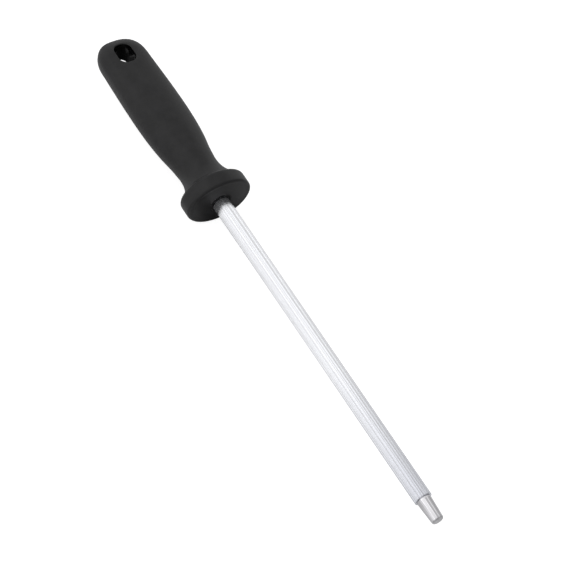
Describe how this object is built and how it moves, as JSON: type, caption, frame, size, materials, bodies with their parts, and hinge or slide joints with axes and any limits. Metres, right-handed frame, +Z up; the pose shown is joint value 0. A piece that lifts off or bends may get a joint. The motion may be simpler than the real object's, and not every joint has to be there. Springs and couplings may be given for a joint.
{
  "type": "knife sharpening steel",
  "caption": "Hand-held knife sharpening steel: ribbed chromed rod with a polished tapered tip, moulded black handle with an oval guard and a hang hole.",
  "frame": {"origin": "under the middle of the whole steel, on the plane through the lowest edge of the guard", "axes": "+X along the rod, from the handle to the tip; +Y across the wide side of the handle; +Z up, along the hang hole"},
  "size_m": [0.3116, 0.0356, 0.0284],
  "materials": {
    "chromed_steel": "hard chrome over fine lengthwise ribs, with a polished tip",
    "black_plastic": "matte moulded black plastic with a very fine texture"
  },
  "bodies": {
    "root": {"rod": "chromed_steel", "handle": "black_plastic"}
  },
  "joints": []
}
